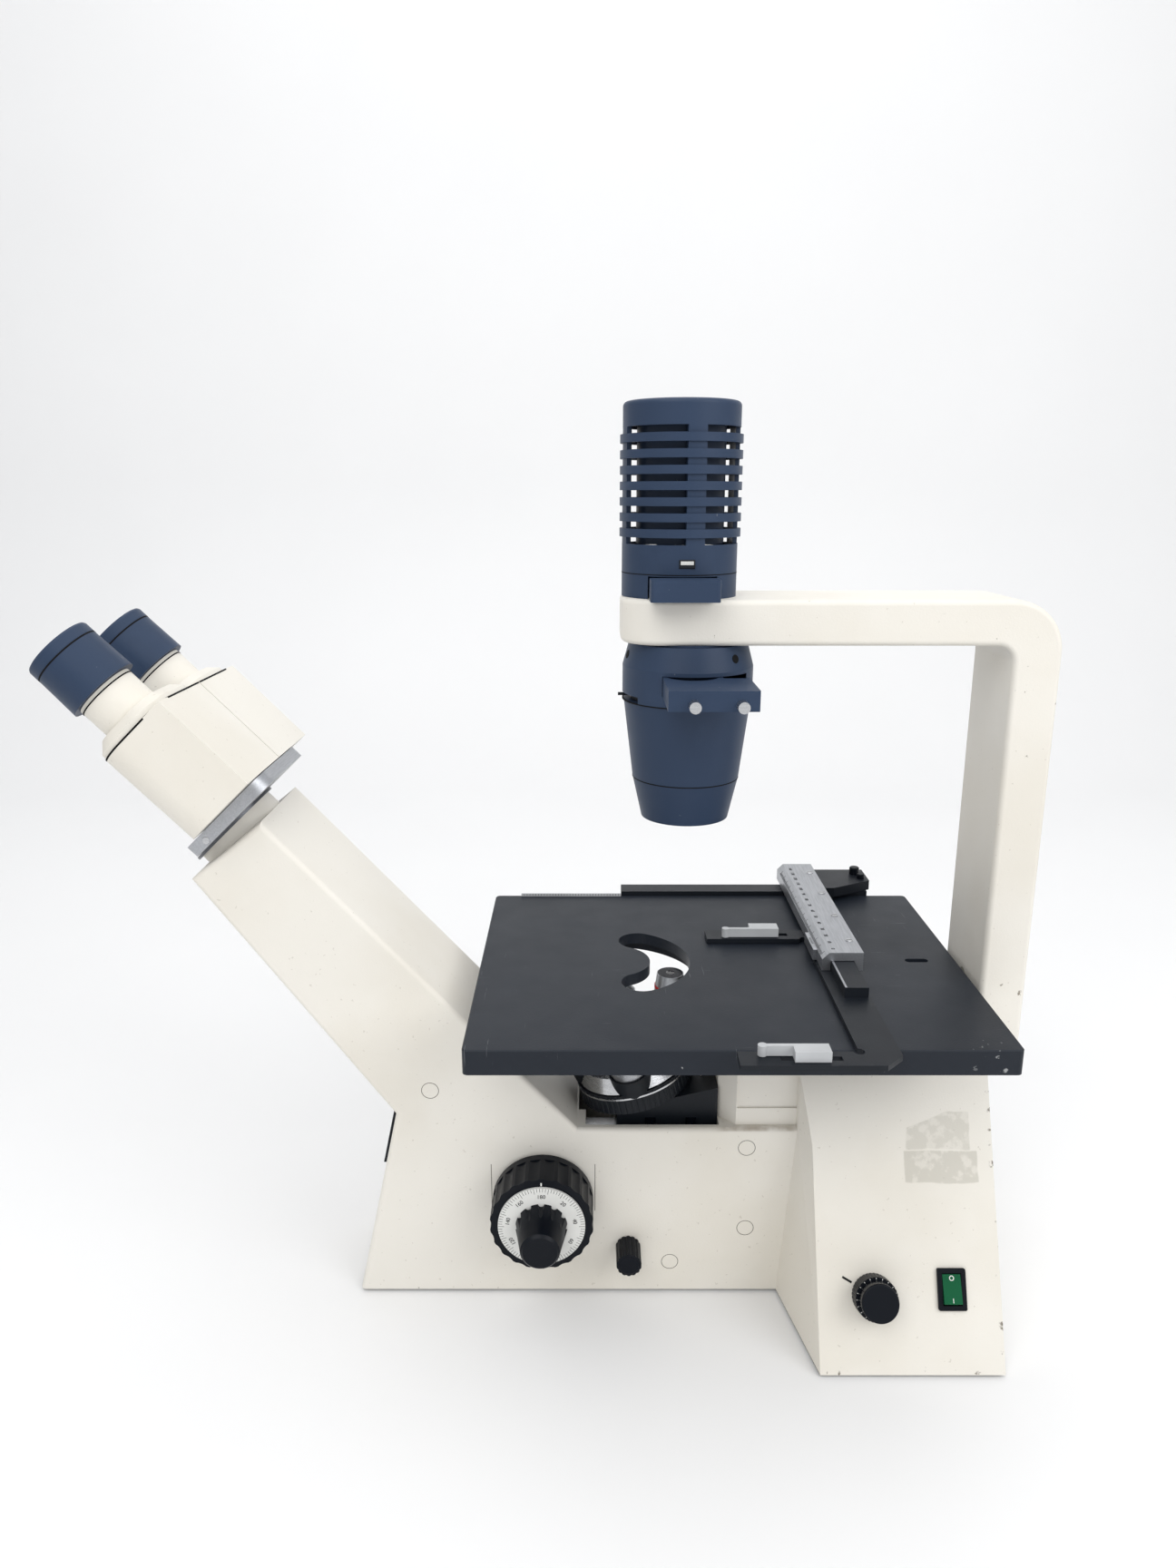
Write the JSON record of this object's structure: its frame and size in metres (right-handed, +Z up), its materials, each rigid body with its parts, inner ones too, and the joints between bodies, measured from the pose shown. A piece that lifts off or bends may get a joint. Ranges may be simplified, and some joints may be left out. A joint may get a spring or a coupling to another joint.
{
  "type": "inverted microscope",
  "caption": "Inverted microscope with a slanted binocular head, flared stand, flat stage with a specimen guide, and a lamp and condenser on a tilting arm above.",
  "frame": {"origin": "on the bench, under the middle of the whole instrument, on its middle plane", "axes": "+X towards the back of the stand, +Y to the user's left, +Z up"},
  "size_m": [0.5451, 0.2675, 0.5235],
  "materials": {
    "cream_paint": "fine textured satin paint",
    "blue_grey_paint": "satin dark blue-grey",
    "stage_black": "satin black, lightly scratched",
    "satin_aluminium": "satin anodised",
    "bright_steel": "turned",
    "black_plastic": "matte",
    "dial_white": "gloss",
    "switch_green": "gloss",
    "clip_grey": "gloss",
    "brass": "turned",
    "rubber": "matte",
    "lens": "coated",
    "mirror": "polished"
  },
  "bodies": {
    "stand": {"base_plate": "stage_black", "rubber_feet": "rubber", "body_casting": "cream_paint", "cover_plugs": "cream_paint", "front_plate": "black_plastic", "rear_housing": "cream_paint", "carrier_hinge_pin": "bright_steel", "power_inlet": "black_plastic", "rocker_bezel": "black_plastic", "power_supply": "black_plastic", "stage_pedestal": "cream_paint", "lower_mirror": "mirror", "stage_plate": "stage_black", "stage_pins": "bright_steel", "guide_rail": "stage_black", "shaft_bushes": "brass", "head_dovetail": "bright_steel", "head_base": "satin_aluminium"},
    "carrier": {"carrier_arm": "cream_paint", "lamp_shell": "blue_grey_paint", "lamp_socket": "blue_grey_paint", "lamp_bulb": "lens", "collector_lens": "lens", "condenser_housing": "blue_grey_paint", "condenser_cone": "blue_grey_paint", "condenser_lens": "lens"},
    "drawer": {"filter_drawer": "blue_grey_paint"},
    "tray": {"filter_tray": "blue_grey_paint", "tray_screws": "bright_steel"},
    "iris": {"iris_ring": "black_plastic"},
    "nosepiece": {"nosepiece_carriage": "stage_black", "focus_rack": "bright_steel"},
    "coarse": {"coarse_shaft": "bright_steel", "coarse_knobs": "black_plastic"},
    "fine": {"fine_shaft": "bright_steel", "dials": "dial_white", "fine_knobs": "black_plastic"},
    "turret": {"turret": "stage_black", "objective_low": "satin_aluminium", "objective_mid": "satin_aluminium", "objective_high": "satin_aluminium"},
    "selector": {"selector_knob": "black_plastic"},
    "dimmer": {"dimmer_knob": "black_plastic"},
    "rocker": {"rocker": "switch_green"},
    "guide": {"guide_carriage": "stage_black", "cross_bar": "satin_aluminium"},
    "specimen": {"specimen_frame": "stage_black", "inner_slide": "stage_black"},
    "clip_far": {"clip_far": "clip_grey"},
    "clip_near": {"clip_near": "clip_grey"},
    "x_drive": {"x_drive_knob": "black_plastic"},
    "y_drive": {"y_drive_knob": "black_plastic"},
    "right_half": {"prism_housing_right": "cream_paint", "eyepiece_tube_right": "cream_paint"},
    "left_half": {"prism_housing_left": "cream_paint", "eyepiece_tube_left": "cream_paint"},
    "eyepiece_right": {"eyepiece_right": "blue_grey_paint", "eye_lens_right": "lens"},
    "eyepiece_left": {"eyepiece_left": "blue_grey_paint", "eye_lens_left": "lens"}
  },
  "joints": [
    {"name": "carrier_tilt", "type": "hinge", "parent": "stand", "child": "carrier", "pos_m": [0.2604, 0, 0.162], "axis": [0, 1, 0], "range_deg": [0, 45]},
    {"name": "drawer_slide", "type": "slide", "parent": "carrier", "child": "drawer", "axis": [0, 1, 0], "range_m": [-0.05, 0]},
    {"name": "tray_slide", "type": "slide", "parent": "carrier", "child": "tray", "axis": [0, 1, 0], "range_m": [-0.024, 0.03]},
    {"name": "iris_turn", "type": "hinge", "parent": "carrier", "child": "iris", "pos_m": [0.0765, 0, 0.3673], "axis": [0, 0, 1], "range_deg": [-30, 30]},
    {"name": "focus_slide", "type": "slide", "parent": "stand", "child": "nosepiece", "axis": [0, 0, 1], "range_m": [-0.005, 0.004]},
    {"name": "coarse_turn", "type": "hinge", "parent": "stand", "child": "coarse", "pos_m": [-0.0062, 0, 0.0685], "axis": [0, 1, 0], "range_deg": [-38.3, 47.9]},
    {"name": "fine_turn", "type": "hinge", "parent": "stand", "child": "fine", "pos_m": [-0.0062, 0, 0.0685], "axis": [0, 1, 0], "continuous": true},
    {"name": "turret_turn", "type": "hinge", "parent": "nosepiece", "child": "turret", "pos_m": [0.048, 0, 0.134], "axis": [-0.2419, 0, 0.9703], "continuous": true},
    {"name": "selector_turn", "type": "hinge", "parent": "stand", "child": "selector", "pos_m": [0.045, -0.039, 0.033], "axis": [0, 1, 0], "range_deg": [0, 90]},
    {"name": "dimmer_turn", "type": "hinge", "parent": "stand", "child": "dimmer", "pos_m": [0.1812, -0.08948, 0.04], "axis": [0, -0.9074, 0.4202], "range_deg": [-30, 250]},
    {"name": "rocker_tip", "type": "hinge", "parent": "stand", "child": "rocker", "pos_m": [0.2256, -0.08809, 0.043], "axis": [1, 0, 0], "range_deg": [0, 16]},
    {"name": "guide_slide", "type": "slide", "parent": "stand", "child": "guide", "axis": [1, 0, 0], "range_m": [-0.11, 0]},
    {"name": "specimen_slide", "type": "slide", "parent": "guide", "child": "specimen", "axis": [0, 1, 0], "range_m": [0, 0.068]},
    {"name": "clip_far_slide", "type": "slide", "parent": "specimen", "child": "clip_far", "axis": [1, 0, 0], "range_m": [-0.01, 0.01]},
    {"name": "clip_near_slide", "type": "slide", "parent": "specimen", "child": "clip_near", "axis": [1, 0, 0], "range_m": [-0.01, 0.01]},
    {"name": "x_drive_turn", "type": "hinge", "parent": "guide", "child": "x_drive", "pos_m": [0.2, 0.13, 0.18], "axis": [0, 0, 1], "continuous": true},
    {"name": "y_drive_turn", "type": "hinge", "parent": "guide", "child": "y_drive", "pos_m": [0.2, 0.13, 0.18], "axis": [0, 0, 1], "continuous": true},
    {"name": "right_swing", "type": "hinge", "parent": "stand", "child": "right_half", "pos_m": [-0.16897, 0, 0.30563], "axis": [-0.6947, 0, 0.7193], "range_deg": [-38, 0]},
    {"name": "left_swing", "type": "hinge", "parent": "stand", "child": "left_half", "pos_m": [-0.16897, 0, 0.30563], "axis": [-0.6947, 0, 0.7193], "range_deg": [0, 38]},
    {"name": "eyepiece_right_turn", "type": "hinge", "parent": "right_half", "child": "eyepiece_right", "pos_m": [-0.16897, -0.036, 0.30563], "axis": [-0.6947, 0, 0.7193], "range_deg": [-90, 90]},
    {"name": "eyepiece_left_turn", "type": "hinge", "parent": "left_half", "child": "eyepiece_left", "pos_m": [-0.16897, 0.036, 0.30563], "axis": [-0.6947, 0, 0.7193], "range_deg": [-90, 90]}
  ],
  "couplings": [
    {"joint": "coarse_turn", "follows": "focus_slide", "rad_per_m": -166.67},
    {"joint": "x_drive_turn", "follows": "guide_slide", "rad_per_m": -166.67},
    {"joint": "y_drive_turn", "follows": "specimen_slide", "rad_per_m": 125},
    {"joint": "left_swing", "follows": "right_swing", "ratio": -1}
  ]
}
